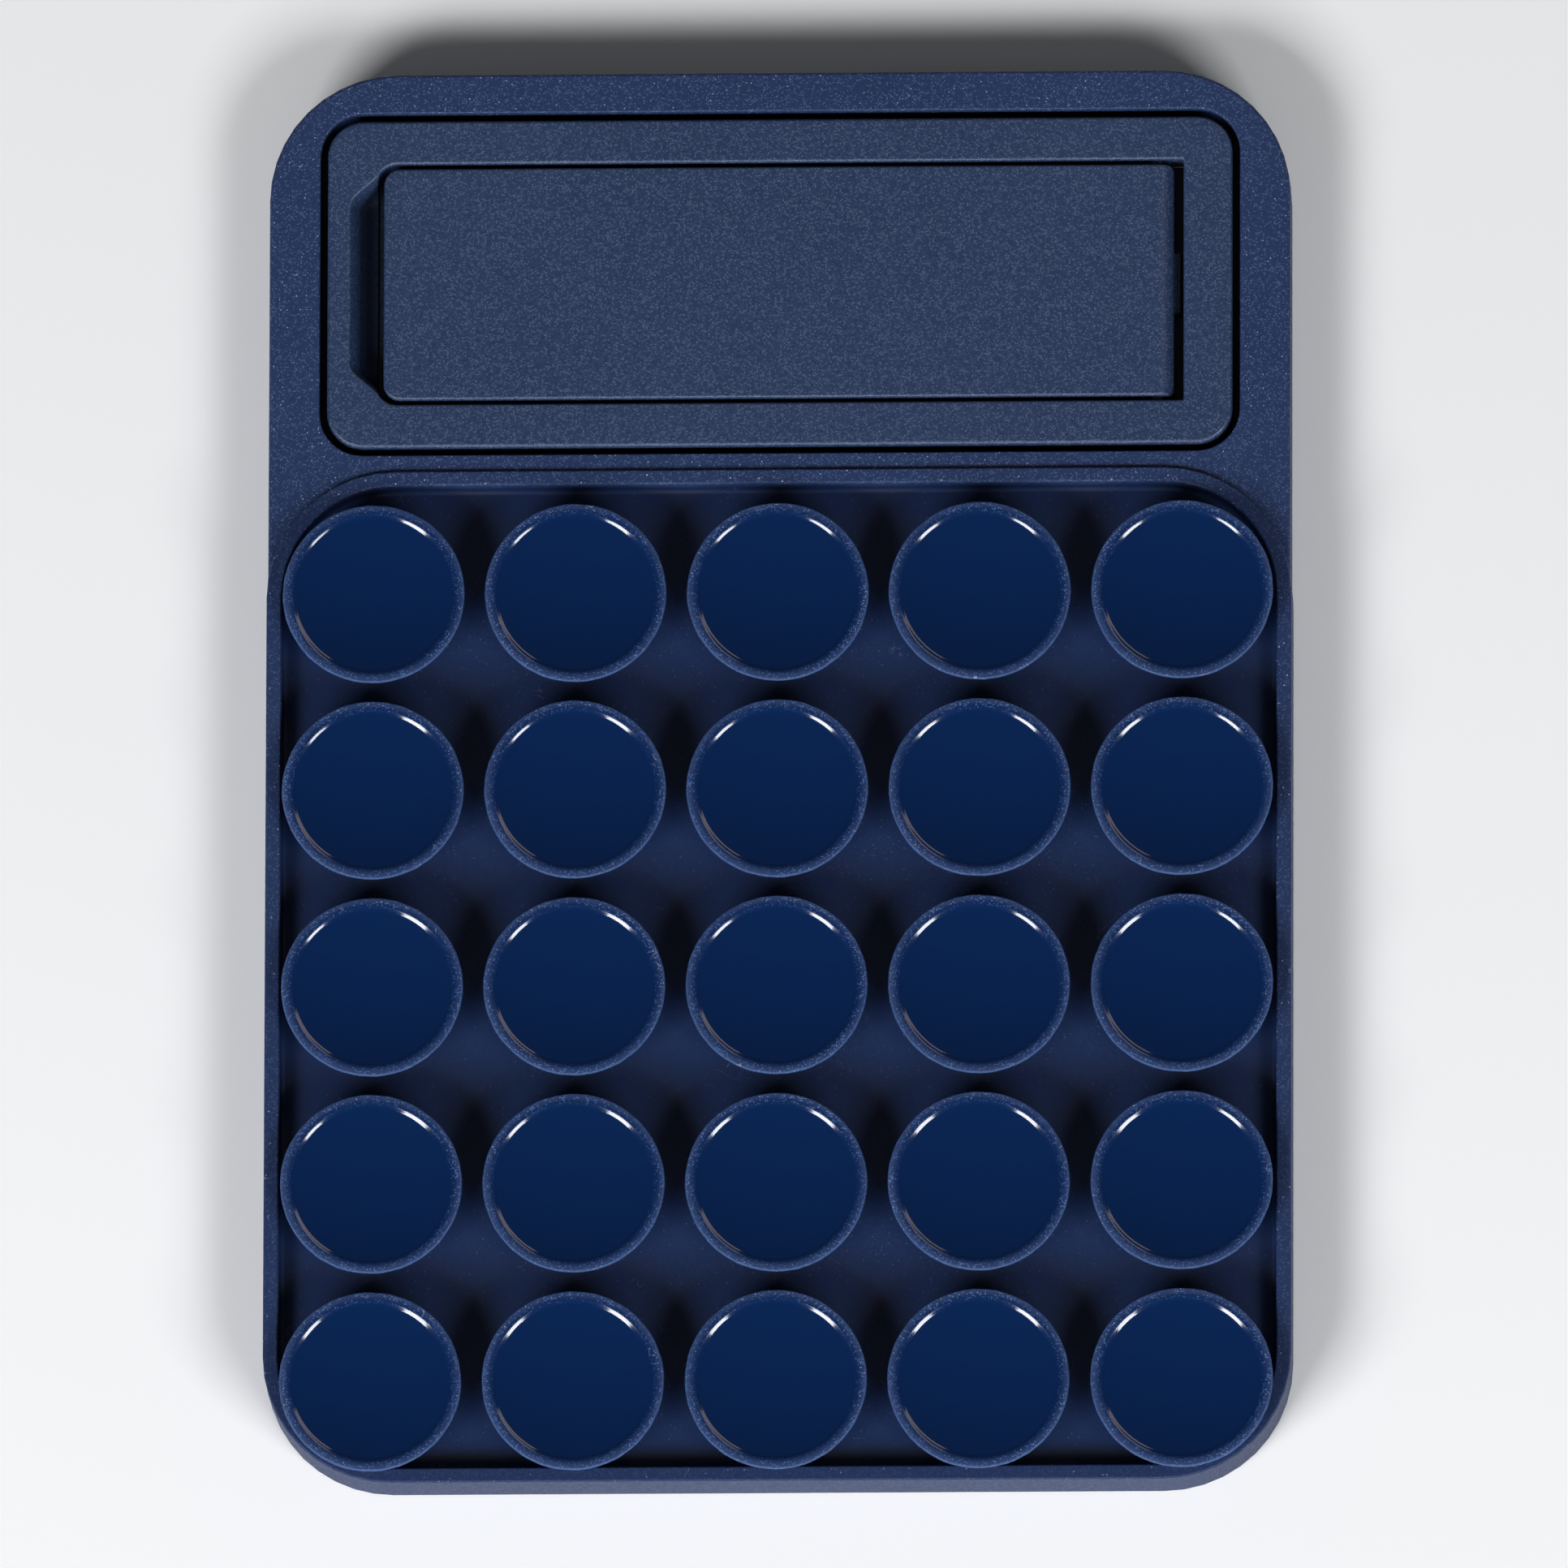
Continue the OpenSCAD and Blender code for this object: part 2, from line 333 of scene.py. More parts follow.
def newMaterial(name):
    material = bpy.data.materials.new(name)
    material.use_nodes = True
    tree = material.node_tree
    shader = tree.nodes["Principled BSDF"]
    place = addNode(tree, "ShaderNodeTexCoord").outputs["Object"]
    return material, tree, shader, place


def addBump(tree, shader, height, distance):
    bump = addNode(tree, "ShaderNodeBump", {"Height": height, "Distance": distance, "Strength": 1.0})
    feed(tree, shader, "Normal", bump.outputs["Normal"])


# Runs from the look's tone to its lighter one, from facet to facet and slowly over the whole surface.
def toneColour(tree, grain, mottle, look):
    share = look["grainShare"]
    drift = plus(tree, times(tree, mottle["Drift"], 1 - share), times(tree, grain["Tone"], share))
    return mixColour(tree, drift, look["tone"], look["lightTone"])


# The silicone's shaded tone is painted shade, and its facet tone is painted glints.
siliconeLook = {
    "tone": linear(28, 46, 85), "lightTone": linear(40, 59, 99), "shadedTone": linear(22, 41, 81),
    "dust": linear(165, 178, 205), "paintedGlint": linear(98, 117, 157),
    "specks": 0.13, "lint": 0.0, "speckScale": 4200.0,
    "grainScale": 8400.0, "facets": 0.38, "mottleScale": 70.0,
    "grainShare": 0.65, "paintedGlintShare": 0.65, "openDust": 0.85, "shadeMaskDust": 0.10,
    "roughness": (0.46, 0.64), "specular": 0.28, "bumpHeight": 0.009 * mm,
}


# The pad carries a painted mask: where it is set, on the tray's floor, up its walls and on the rim, the
# silicone takes painted shade, a darker tone, and less dust.
def makeSilicone(look):
    material, tree, shader, place = newMaterial("navySilicone")
    shadeAndLessDust = painted(tree, "shadeAndLessDust")
    outsideShade = mathNode(tree, "SUBTRACT", 1.0, shadeAndLessDust)
    grain, mottle = placeGrain(tree, place, look), placeMottle(tree, place, look)
    colour = toneColour(tree, grain, mottle, look)
    # painted shade: the mask darkens the silicone to its shaded tone
    colour = mixColour(tree, shadeAndLessDust, colour, look["shadedTone"])
    # painted glints: the grain's bright facets are painted lighter, outside the painted shade
    paintedGlint = times(tree, times(tree, grain["PaintedGlints"], outsideShade), look["paintedGlintShare"])
    colour = mixColour(tree, paintedGlint, colour, look["paintedGlint"])
    cover = remap(tree, shadeAndLessDust, 0, 1, look["openDust"], look["shadeMaskDust"])
    loose = times(tree, placeDust(tree, place, look), cover)
    feed(tree, shader, "Base Color", mixColour(tree, loose, colour, look["dust"]))
    feed(tree, shader, "Roughness", remap(tree, mottle["Fine"], 0.3, 0.7, *look["roughness"]))
    addBump(tree, shader, plus(tree, times(tree, grain["Height"], outsideShade), loose), look["bumpHeight"])
    shader.inputs["Specular IOR Level"].default_value = look["specular"]
    return material


# The cups' lighter side tone is painted light, their edge tone is a painted highlight along the lip, and
# their facet tone on the land is painted glints.
cupLook = {
    "dish": linear(6, 34, 77), "land": linear(15, 42, 88), "edge": linear(52, 83, 136),
    "under": linear(20, 34, 66), "landGlintTone": linear(93, 130, 190), "dust": linear(160, 175, 205),
    "litSide": linear(60, 80, 124),
    "specks": 0.2, "lint": 0.06, "speckScale": 5200.0,
    "grainScale": 7500.0, "facets": 0.42, "mottleScale": 160.0,
    "landGlintShare": (0.3, 0.95), "edgeShare": (0.35, 1.0), "litSideShare": 0.34, "dustShare": 0.75,
    "dishRoughness": 0.08, "landRoughness": 0.6, "roughnessDrift": 0.03,
    "specular": 0.4, "bumpHeight": 0.006 * mm,
}

# The cups carry painted masks: "land" is 1 outside the polished dish, "edge" is 1 at the thin lip, where a
# painted highlight runs,
# "under" is 1 below it, and the last is 1 where the land faces the foot of the pad, painted lighter as the
# lamps light that side.
cupMasks = ("land", "edge", "under", "litSide")


def makeCupSilicone(look):
    material, tree, shader, place = newMaterial("cupSilicone")
    land, edge, under, litSide = [painted(tree, maskName) for maskName in cupMasks]
    grain, mottle = placeGrain(tree, place, look), placeMottle(tree, place, look)
    dust = placeDust(tree, place, look)
    colour = mixColour(tree, land, look["dish"], look["land"])
    # painted light: the land is lighter on the side that faces the foot of the pad, where the lamps fall
    colour = mixColour(tree, times(tree, litSide, look["litSideShare"]), colour, look["litSide"])
    # painted glints: the land's bright grain facets are painted a lighter tone
    landGlintAmount = remap(tree, mottle["Drift"], 0, 1, *look["landGlintShare"])
    landGlints = times(tree, times(tree, grain["PaintedGlints"], land), landGlintAmount)
    colour = mixColour(tree, landGlints, colour, look["landGlintTone"])
    # painted highlight: a lighter line along the thin lip, broken up facet by facet
    ragged = remap(tree, grain["Tone"], 0, 1, *look["edgeShare"])
    colour = mixColour(tree, times(tree, edge, ragged), colour, look["edge"])
    colour = mixColour(tree, under, colour, look["under"])
    dusty = times(tree, times(tree, dust, land), look["dustShare"])
    feed(tree, shader, "Base Color", mixColour(tree, dusty, colour, look["dust"]))
    matt = mathNode(tree, "POWER", land, 2.0)
    rough = remap(tree, matt, 0, 1, look["dishRoughness"], look["landRoughness"])
    feed(tree, shader, "Roughness", plus(tree, rough, times(tree, mottle["Fine"], look["roughnessDrift"])))
    addBump(tree, shader, times(tree, matt, plus(tree, grain["Height"], dust)), look["bumpHeight"])
    shader.inputs["Specular IOR Level"].default_value = look["specular"]
    return material


# The plastic's facet tone is painted glints, and its recess tone is painted shade.
plasticLook = {
    "tone": linear(35, 53, 87), "lightTone": linear(49, 67, 101), "paintedGlint": linear(104, 121, 154),
    "recess": linear(12, 24, 47),
    "grainScale": 8400.0, "facets": 0.36, "mottleScale": 55.0, "grainShare": 0.75, "paintedGlintShare": 0.55,
    "roughness": (0.32, 0.5), "specular": 0.6, "bumpHeight": 0.02 * mm,
}


# The frame and the leg carry a painted mask where they take painted shade, in the recesses and on the heel.
def makePlastic(look):
    material, tree, shader, place = newMaterial("grainedPlastic")
    grain, mottle = placeGrain(tree, place, look), placeMottle(tree, place, look)
    colour = toneColour(tree, grain, mottle, look)
    # painted glints: the grain's bright facets are painted lighter
    paintedGlint = times(tree, grain["PaintedGlints"], look["paintedGlintShare"])
    colour = mixColour(tree, paintedGlint, colour, look["paintedGlint"])
    # painted shade: the mask darkens the plastic to the recess tone
    feed(tree, shader, "Base Color", mixColour(tree, painted(tree, "recessShade"), colour, look["recess"]))
    feed(tree, shader, "Roughness", remap(tree, grain["Tone"], 0, 1, *look["roughness"]))
    addBump(tree, shader, grain["Height"], look["bumpHeight"])
    shader.inputs["Specular IOR Level"].default_value = look["specular"]
    return material


steelLook = {
    "tone": linear(66, 67, 71), "streak": linear(46, 47, 51),
    "streakScale": 4000.0, "stretch": (1.0, 0.03, 1.0), "roughness": (0.4, 0.56), "bumpHeight": 0.002 * mm,
}


def makeSteel(look):
    material, tree, shader, place = newMaterial("blackenedSteel")
    drawn = addNode(tree, "ShaderNodeMapping", {"Vector": place, "Scale": look["stretch"]}).outputs["Vector"]
    lines = noiseValue(tree, drawn, look["streakScale"], 3.0)
    feed(tree, shader, "Base Color", mixColour(tree, lines, look["streak"], look["tone"]))
    feed(tree, shader, "Roughness", remap(tree, lines, 0.3, 0.7, *look["roughness"]))
    addBump(tree, shader, lines, look["bumpHeight"])
    shader.inputs["Metallic"].default_value = 1.0
    return material


plateLook = {
    "tone": linear(44, 46, 52), "lightTone": linear(54, 56, 63),
    "grainScale": 5000.0, "facets": 0.05, "mottleScale": 90.0,
    "roughness": (0.36, 0.5), "bumpHeight": 0.01 * mm,
}


def makePlate(look):
    material, tree, shader, place = newMaterial("platePlastic")
    grain, mottle = placeGrain(tree, place, look), placeMottle(tree, place, look)
    feed(tree, shader, "Base Color", mixColour(tree, mottle["Drift"], look["tone"], look["lightTone"]))
    feed(tree, shader, "Roughness", remap(tree, mottle["Fine"], 0.3, 0.7, *look["roughness"]))
    addBump(tree, shader, grain["Height"], look["bumpHeight"])
    return material


tapeLook = {
    "tone": linear(62, 64, 68), "lightTone": linear(70, 72, 76), "dust": linear(150, 152, 158),
    "specks": 0.05, "lint": 0.0, "speckScale": 1500.0, "dustShare": 0.5, "mottleScale": 45.0,
    "cellScale": 2600.0, "roughness": (0.3, 0.5), "bumpHeight": 0.012 * mm,
}


def makeTape(look):
    material, tree, shader, place = newMaterial("adhesiveSheet")
    mottle = placeMottle(tree, place, look)
    foam = addNode(tree, "ShaderNodeTexVoronoi", {"Vector": place, "Scale": look["cellScale"]})
    cells = foam.outputs["Distance"]
    colour = mixColour(tree, mottle["Drift"], look["tone"], look["lightTone"])
    dusty = times(tree, placeDust(tree, place, look), look["dustShare"])
    feed(tree, shader, "Base Color", mixColour(tree, dusty, colour, look["dust"]))
    feed(tree, shader, "Roughness", remap(tree, cells, 0.0, 0.8, *look["roughness"]))
    addBump(tree, shader, cells, look["bumpHeight"])
    return material


siliconeMaterial = makeSilicone(siliconeLook)
cupMaterial = makeCupSilicone(cupLook)
plasticMaterial = makePlastic(plasticLook)
steelMaterial = makeSteel(steelLook)
plateMaterial = makePlate(plateLook)
tapeMaterial = makeTape(tapeLook)
print("materials made")


# Gives a new piece its material and its body, in place of the CAD nodes.
def dress(piece, material, body, slotName, *nodes):
    piece.data.materials.clear()
    piece.data.materials.append(material)
    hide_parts(*nodes)
    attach(piece, body)


# Silicone pad

padSettings = {
    "cornerRadius": 8.5 * mm, "rimWidth": 1.0 * mm, "trayMarginTop": 1.6 * mm, "sideStep": 0.08 * mm,
    "topFillet": 0.24 * mm, "rimOuterFillet": 0.14 * mm, "footFillet": 0.3 * mm, "rimFillet": 0.16 * mm,
    "floorFillet": 0.35 * mm,
    "pocketGap": 0.5 * mm, "pocketRadius": 2.9 * mm, "pocketFillet": 0.12 * mm,
    "plateFit": 0.05 * mm, "skirtWidth": 1.2 * mm, "endReach": 13 * mm,
    # Amounts of painted shade on the rim's top, and on the rim's top and the outer wall towards the -Y end.
    "rimShade": 0.35, "footShade": 0.4, "wallShade": 0.6,
}


# Paints the mask of painted shade and less dust: 1 on the tray's floor, where the cups shade it, and less up
# its walls and on the rim.
# The rim and the outer wall are painted darker towards the -Y end, and the stand's end is open, at 0.
def paintShadeMask(piece, s, trayLow, trayHigh, floorZ, rimTop):
    layer = piece.data.attributes.new("shadeAndLessDust", "FLOAT", "POINT")
    wallTop, fadeDepth = rimTop - 0.15 * mm, rimTop - floorZ - 0.6 * mm
    for vert, value in zip(piece.data.vertices, layer.data):
        x, y, z = vert.co
        onTop = z > rimTop - 0.1 * mm
        along = min(max((trayHigh[1] - y) / (trayHigh[1] - trayLow[1]), 0), 1)
        share = (s["footShade"] if onTop else s["wallShade"]) * along ** 8
        if onTop and y < trayHigh[1]:
            share += s["rimShade"]
        if trayLow[0] < x < trayHigh[0] and trayLow[1] < y < trayHigh[1]:
            share = min(max((wallTop - z) / fadeDepth, share), 1)
        value.value = share


def makePad(s):
    low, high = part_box("silicone_pad")
    frameLow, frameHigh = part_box("stand_frame")
    plateLow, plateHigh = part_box("backing_plate")
    cupLow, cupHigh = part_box("suction_cup_1_1")
    past = 2 * mm
    standTop, floorZ, rimTop = frameHigh.z, cupLow.z, high.z
    corner, rim = s["cornerRadius"], s["rimWidth"]
    trayTop = cupHigh.y + s["trayMarginTop"] + rim
    tray = solidFromProfile(
        "siliconePad", (low.x, low.y), (high.x, trayTop), [corner] * 4,
        slabProfile(low.z, rimTop, s["footFillet"], s["rimOuterFillet"]))
    end = solidFromProfile(
        "padEnd", (low.x + s["sideStep"], trayTop - s["endReach"]), (high.x - s["sideStep"], high.y),
        [corner, corner, corner / 4, corner / 4],
        slabProfile(low.z, standTop, s["footFillet"], s["topFillet"]))
    recess = solidFromProfile(
        "trayRecess", (low.x + rim, low.y + rim), (high.x - rim, trayTop - rim), [corner - rim] * 4,
        recessProfile(floorZ, rimTop, s["floorFillet"], s["rimFillet"], past))
    gap = s["pocketGap"]
    pocket = solidFromProfile(
        "standPocket", (frameLow.x - gap, frameLow.y - gap), (frameHigh.x + gap, frameHigh.y + gap),
        [s["pocketRadius"]] * 4, [(0, low.z - past)] + lipProfile(standTop, s["pocketFillet"], past))
    fit = s["plateFit"]
    under = solidFromProfile(
        "plateRecess", (plateLow.x - fit, plateLow.y - fit), (plateHigh.x + fit, plateHigh.y + fit),
        [corner - s["skirtWidth"]] * 4, [(0, low.z - past), (0, plateHigh.z)])
    combine(tray, "UNION", end)
    combine(tray, "DIFFERENCE", recess, pocket, under)
    reach = rim * 0.9
    paintShadeMask(tray, s, (low.x + reach, low.y + reach), (high.x - reach, trayTop - reach), floorZ, rimTop)
    shade(tray)
    return tray


pad = makePad(padSettings)
dress(pad, siliconeMaterial, "root", "silicone", "silicone_pad")
print("pad made:", len(pad.data.polygons), "faces")


# Suction cups

cupSettings = {
    "segments": 96, "stemRadius": 3.9 * mm, "stemHeight": 1.1 * mm, "rootFillet": 0.45 * mm,
    "lipThickness": 0.26 * mm, "landWidth": 0.54 * mm, "landFade": 0.5 * mm, "shoulder": 0.36 * mm,
    "landSlope": 4, "shoulderSlope": 27.4, "dishSlope": 15.5,
    "dishSteps": 16, "dishShare": 0.82, "landStep": 0.06 * mm,
    "edgeFade": 0.2 * mm, "edgeStart": 0.14 * mm, "edgeMost": 0.6,
    "flareRadius": 0.5 * mm, "waver": 0.034 * mm, "waverReach": 5.922 * mm, "lean": 0.004,
    "flash": 0.028 * mm, "flashPitch": 9, "sink": 0.02 * mm, "travel": 0.8 * mm, "seed": 7,
}


# Slope of the cup's top at a radius, in degrees: a shallow dish, a steeper shoulder, then a nearly flat land.
def topSlope(s, r, dishRadius):
    shoulderStart = dishRadius - s["shoulder"]
    if r < shoulderStart:
        return s["dishSlope"] * r / shoulderStart
    if r < dishRadius:
        share = math.sin((r - shoulderStart) / s["shoulder"] * math.pi)
        base = s["dishSlope"] + (s["landSlope"] - s["dishSlope"]) * (r - shoulderStart) / s["shoulder"]
        return base + (s["shoulderSlope"] - base) * share ** 0.4
    return s["landSlope"]


# One cup's half-section from the middle of the dish, over the lip and down to the root,
# as (radius, height, land, edge, under). The top is walked inwards from the lip, slope by slope.
def cupSection(s, lipRadius, height):
    dishRadius, half = lipRadius - s["landWidth"], s["lipThickness"] / 2
    crest = lipRadius - half
    shares = [1 - (1 - i / s["dishSteps"]) ** 1.4 for i in range(s["dishSteps"] + 1)]  # closer further out
    stops = [crest * share * s["dishShare"] for share in shares]
    while stops[-1] < crest - 0.02 * mm:
        stops.append(min(stops[-1] + s["landStep"], crest))
    heights = [height]
    for outer, inner in zip(reversed(stops), reversed(stops[:-1])):
        slope = math.radians(topSlope(s, (outer + inner) / 2, dishRadius))
        heights.append(heights[-1] - math.tan(slope) * (outer - inner))
    section = []
    for r, z in zip(stops, reversed(heights)):
        land = min(max((r - dishRadius + s["landFade"] / 2) / s["landFade"], 0), 1)
        edge = min(max((r - crest + s["edgeStart"]) / s["edgeFade"], 0), 1) ** 2 * s["edgeMost"]
        section.append((r, z, land, edge, 0))
    section += [(r, z, 1, 1, 0) for r, z in arc(crest, height - half, half, 75, -60, 7)]
    stem, flare, fillet = s["stemRadius"], s["flareRadius"], s["rootFillet"]
    below = arc(stem + flare, s["stemHeight"] - 0.1 * mm, flare, 118, 180, 4)
    below += arc(stem + fillet, fillet, fillet, 180, 270) + [(stem + fillet, -s["sink"])]
    return section + [(r, z, 1, 0, 1) for r, z in below]


# The cup is its section swept round, with a lip that wavers and leans a little and has ragged flash.
def makeCup(s, node):
    low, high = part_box(node)
    centre = Vector(((low.x + high.x) / 2, (low.y + high.y) / 2, low.z))
    height = high.z - low.z
    section = cupSection(s, (high.x - low.x) / 2, height)
    dice = random.Random(f"{node}-{s['seed']}")
    phases = [(dice.uniform(0, 2 * math.pi), dice.uniform(0.4, 1.0), k) for k in (2, 3, 5)]
    lean = Vector((dice.uniform(-1, 1), dice.uniform(-1, 1), 0)) * s["lean"]
    count, pitch = s["segments"], s["flashPitch"]
    bm = bmesh.new()
    layers = [bm.verts.layers.float.new(maskName) for maskName in cupMasks]
    hub = bm.verts.new(centre + Vector((0, 0, section[0][1])))
    rings = []
    for r, z, land, edge, under in section[1:]:
        loose = max(0.0, (r - s["stemRadius"]) / s["waverReach"]) * (1 - under)
        ring = []
        for i in range(count):
            angle = 2 * math.pi * i / count
            along, across = math.cos(angle), math.sin(angle)
            wave = sum(math.sin(k * angle + phase) * size for phase, size, k in phases) / 3
            jag = noise.noise(Vector((along * pitch, across * pitch, phases[0][0]))) * s["flash"] * edge
            reach = r + s["waver"] * wave * loose * 2 + jag
            x, y = reach * along, reach * across
            lift = (lean.x * x + lean.y * y + s["waver"] * wave) * loose
            vert = bm.verts.new(centre + Vector((x, y, z + lift)))
            # painted light: the land's side facing the foot of the pad, lit by the lamps, is painted lighter
            litSide = land * (1 - under) * max(0.15 - math.sin(angle + 0.4), 0) / 1.15
            for layer, value in zip(layers, (land, edge, under, litSide)):
                vert[layer] = value
            ring.append(vert)
        rings.append(ring)
    for i in range(count):
        bm.faces.new((hub, rings[0][i], rings[0][(i + 1) % count]))
    for lower, upper in zip(rings, rings[1:]):
        for i in range(count):
            j = (i + 1) % count
            bm.faces.new((lower[i], lower[j], upper[j], upper[i]))
    bm.faces.new(rings[-1])
    cup = meshObject("cup" + node[len("suction_cup"):], bm)
    shade(cup, 50)
    dress(cup, cupMaterial, node, "cup_silicone", node)
    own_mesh(cup)
    return cup


cupNodes = sorted(name for name in frame["nodes"] if name.startswith("suction_cup"))
cups = [makeCup(cupSettings, node) for node in cupNodes]
print("cups made:", len(cups), "of", len(cups[0].data.polygons), "faces")


# Stand frame

hinge = next(j for j in frame["joints"] if j["name"] == "leg_hinge")
hingePoint = Vector(hinge["pos_m"])

standSettings = {
    "cornerRadius": 2.4 * mm, "topFillet": 0.26 * mm, "footFillet": 0.08 * mm,
    "railWidth": 2.95 * mm, "endWidth": 3.25 * mm, "windowFloor": 0.8 * mm,
    "windowRadius": 1.4 * mm, "hingeCorner": 0.15 * mm, "windowFillet": 0.2 * mm,
    "scoopReach": 1.65 * mm, "scoopWall": 1.6 * mm, "scoopDepth": 2.15 * mm, "scoopLip": 0.3 * mm,
    "scoopLean": 67,
    "scoopCurve": [(y * mm, x * mm) for y, x in (
        (5.2, -1.65), (5.8, -1.48), (6.45, -0.82), (7.05, -0.12), (7.65, 0.5), (8.15, 1.45))],
    "boreRadius": 0.6 * mm, "heelRadius": 1.6 * mm, "heelHalf": 2.1 * mm, "stop": 0.15 * mm,
    "postRadius": 0.8 * mm, "postRoot": 0.2 * mm, "headRadius": 1.3 * mm, "headThickness": 0.35 * mm,
}


# The scoop's edge in plan, at a distance from its middle: straight, then a smooth S through the given points
# into the window's corner.
def scoopEdge(s, away):
    points = s["scoopCurve"]
    if away <= points[0][0]:
        return points[0][1]
    for i, (start, end) in enumerate(zip(points, points[1:])):
        if away <= end[0]:
            before = points[max(i - 1, 0)]
            after = points[min(i + 2, len(points) - 1)]
            width = end[0] - start[0]
            share = (away - start[0]) / width
            rise = (end[1] - before[1]) / (end[0] - before[0]) * width if i else 0
            fall = (after[1] - start[1]) / (after[0] - start[0]) * width
            blend = 3 * share ** 2 - 2 * share ** 3
            bend = (share ** 3 - 2 * share ** 2 + share) * rise + (share ** 3 - share ** 2) * fall
            return (1 - blend) * start[1] + blend * end[1] + bend
    return points[-1][1]


# The scoop's surface as (distance from its edge, height from the frame's top): a round lip, a leaning wall
# and a hollow foot.
def scoopSection(s):
    lip, wall, reach, depth = s["scoopLip"], s["scoopWall"], s["scoopReach"], s["scoopDepth"]
    lean = math.radians(s["scoopLean"])
    section = [(-lip + lip * math.sin(lean * i / 5), lip * (math.cos(lean * i / 5) - 1)) for i in range(6)]
    start = section[-1]
    end = (start[0] + (wall + start[1]) / math.tan(lean), -wall)
    for i in (1, 2, 3):
        section.append((start[0] + (end[0] - start[0]) * i / 3, start[1] + (end[1] - start[1]) * i / 3))
    for i in range(1, 6):
        share = i / 5
        section.append((end[0] + (reach - end[0]) * share, -wall - (depth - wall) * (1 - (1 - share) ** 2.2)))
    section.append((reach * 1.25, -depth))
    return section


def makeScoop(s, windowLow, windowHigh, top):
    middle = (windowLow[1] + windowHigh[1]) / 2
    half = (windowHigh[1] - windowLow[1]) / 2 - 0.01 * mm
    rows = 72
    section = scoopSection(s)
    section += [(section[-1][0], mm), (section[0][0], mm)]
    rings = []
    for row in range(rows + 1):
        away = -half + 2 * half * row / rows
        edge = windowLow[0] + scoopEdge(s, abs(away))
        rings.append([(edge + x, middle + away, top + z) for x, z in section])
    return solidFromRings("scoop", rings)


# Paints the shade mask: 0 at the frame's top, rising to 1 at the foot of the scoop and the recess, as painted
# shade deepening down the walls.
def paintRecessShade(piece, top, depth):
    layer = piece.data.attributes.new("recessShade", "FLOAT", "POINT")
    for vert, value in zip(piece.data.vertices, layer.data):
        value.value = min(max((top - vert.co.z) / depth, 0), 1) ** 1.8


def makeStandFrame(s):
    low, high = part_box("stand_frame")
    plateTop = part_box("backing_plate")[1].z
    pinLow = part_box("hinge_pin")[0]
    past = 2 * mm
    body = solidFromProfile(
        "standFrame", (low.x, low.y), (high.x, high.y), [s["cornerRadius"]] * 4,
        slabProfile(plateTop, high.z, s["footFillet"], s["topFillet"]))
    windowLow = (low.x + s["endWidth"], low.y + s["railWidth"])
    windowHigh = (high.x - s["endWidth"], high.y - s["railWidth"])
    window = solidFromProfile(
        "window", windowLow, windowHigh,
        [s["hingeCorner"], s["windowRadius"], s["windowRadius"], s["hingeCorner"]],
        recessProfile(plateTop + s["windowFloor"], high.z, 0.1 * mm, s["windowFillet"], past))
    scoop = makeScoop(s, windowLow, windowHigh, high.z)
    slotLow = (hingePoint.x - s["stop"], hingePoint.y - s["heelHalf"])
    slotHigh = (windowHigh[0] + 0.01 * mm, hingePoint.y + s["heelHalf"])
    slot = solidFromProfile(
        "heelSlot", slotLow, slotHigh, [0.05 * mm] * 4,
        [(0, hingePoint.z - s["heelRadius"]), (0, hingePoint.z)])
    bore = cylinderAlong(
        "bore", (0, 1, 0), (hingePoint.x, pinLow.y, hingePoint.z), high.y - pinLow.y + past, s["boreRadius"])
    combine(body, "DIFFERENCE", window, scoop, slot, bore)
    postX, postY = (high.x - low.x - s["endWidth"]) / 2, (high.y - low.y - s["railWidth"]) / 2
    for x in (-postX, postX):
        for y in (hingePoint.y - postY, hingePoint.y + postY):
            place = ((low.x + high.x) / 2 + x, y, low.z)
            post = cylinderAlong("post", (0, 0, 1), place, plateTop - low.z + s["postRoot"], s["postRadius"])
            head = cylinderAlong("head", (0, 0, 1), place, s["headThickness"], s["headRadius"])
            combine(body, "UNION", post, head)
    paintRecessShade(body, high.z, s["scoopWall"])
    shade(body)
    return body


standFrame = makeStandFrame(standSettings)
dress(standFrame, plasticMaterial, "root", "plastic", "stand_frame")
print("frame made:", len(standFrame.data.polygons), "faces")


# Stand leg

legSettings = {
    "cornerRadius": 1.1 * mm, "edgeFillet": 0.2 * mm, "hingeCorner": 0.4 * mm, "boreRadius": 0.63 * mm,
    "heelReach": 0.4 * mm, "heelHalf": 2.0 * mm, "heelSpan": 30, "heelLead": 35,  # the last two in degrees
}


# How far a round corner's outline lies inside its square, at a distance from the end.
def inset(radius, distance):
    if distance >= radius:
        return 0.0
    return radius - math.sqrt(radius ** 2 - (radius - distance) ** 2)


# A leg cross-section at one place along X: a rectangle with filleted corners.
def legRing(x, centreY, centreZ, halfWidth, halfThick, fillet):
    f = max(min(fillet, halfThick * 0.98, halfWidth * 0.98), 0.002 * mm)
    low, high = (-halfWidth, -halfThick), (halfWidth, halfThick)
    return [(x, centreY + y, centreZ + z) for y, z in roundedOutline(low, high, [f] * 4, 0.0, 5)]


# Paints the heel dark as painted shade, since it is seen only down the shaded gap beside the barrel.
def paintHeelShade(piece, barrelRadius):
    layer = piece.data.attributes.new("recessShade", "FLOAT", "POINT")
    for vert, value in zip(piece.data.vertices, layer.data):
        reach = math.hypot(vert.co.x - hingePoint.x, vert.co.z - hingePoint.z)
        value.value = 1 if vert.co.x > hingePoint.x and reach > barrelRadius * 1.04 else 0


